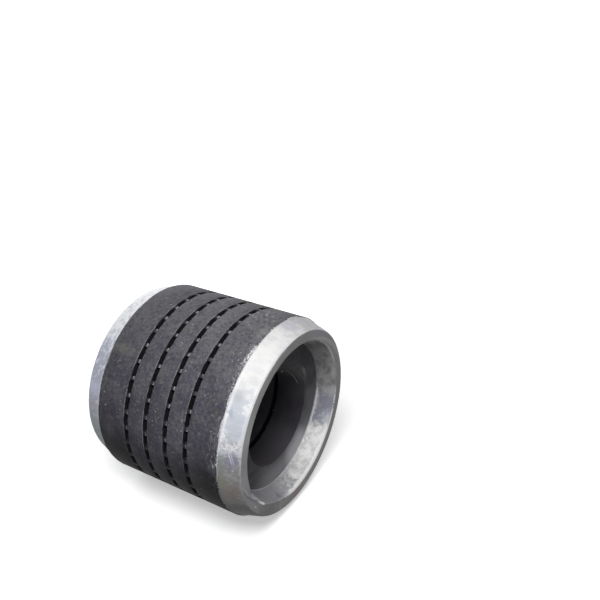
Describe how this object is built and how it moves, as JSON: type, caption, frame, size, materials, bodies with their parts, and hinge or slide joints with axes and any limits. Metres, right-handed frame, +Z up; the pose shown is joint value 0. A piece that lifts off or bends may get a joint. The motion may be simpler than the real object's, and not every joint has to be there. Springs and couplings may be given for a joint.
{
  "type": "motor rotor core",
  "caption": "Squirrel-cage rotor core: laminated steel packets with radial air ducts, skewed closed slots, a cast aluminium cage with tapered end rings, and a plain bore for the shaft.",
  "frame": {"origin": "middle of the bore, half way along the core", "axes": "+X along the shaft axis towards the front end, +Z up as the core lies on its side"},
  "size_m": [0.388, 0.43, 0.43],
  "materials": {
    "laminations": "stacked electrical steel, turned and dull",
    "cast_aluminium": "die-cast and rough turned",
    "spacer_steel": "dull mill finish"
  },
  "bodies": {
    "root": {"bar_01": "cast_aluminium", "bar_02": "cast_aluminium", "bar_03": "cast_aluminium", "bar_04": "cast_aluminium", "bar_05": "cast_aluminium", "bar_06": "cast_aluminium", "bar_07": "cast_aluminium", "bar_08": "cast_aluminium", "bar_09": "cast_aluminium", "bar_10": "cast_aluminium", "bar_11": "cast_aluminium", "bar_12": "cast_aluminium", "bar_13": "cast_aluminium", "bar_14": "cast_aluminium", "bar_15": "cast_aluminium", "bar_16": "cast_aluminium", "bar_17": "cast_aluminium", "bar_18": "cast_aluminium", "bar_19": "cast_aluminium", "bar_20": "cast_aluminium", "bar_21": "cast_aluminium", "bar_22": "cast_aluminium", "bar_23": "cast_aluminium", "bar_24": "cast_aluminium", "bar_25": "cast_aluminium", "bar_26": "cast_aluminium", "bar_27": "cast_aluminium", "bar_28": "cast_aluminium", "bar_29": "cast_aluminium", "bar_30": "cast_aluminium", "bar_31": "cast_aluminium", "bar_32": "cast_aluminium", "bar_33": "cast_aluminium", "bar_34": "cast_aluminium", "bar_35": "cast_aluminium", "bar_36": "cast_aluminium", "bar_37": "cast_aluminium", "bar_38": "cast_aluminium", "packet_1": "laminations", "packet_2": "laminations", "packet_3": "laminations", "packet_4": "laminations", "packet_5": "laminations", "duct_spacers": "spacer_steel", "end_ring_front": "cast_aluminium", "end_ring_rear": "cast_aluminium"}
  },
  "joints": []
}
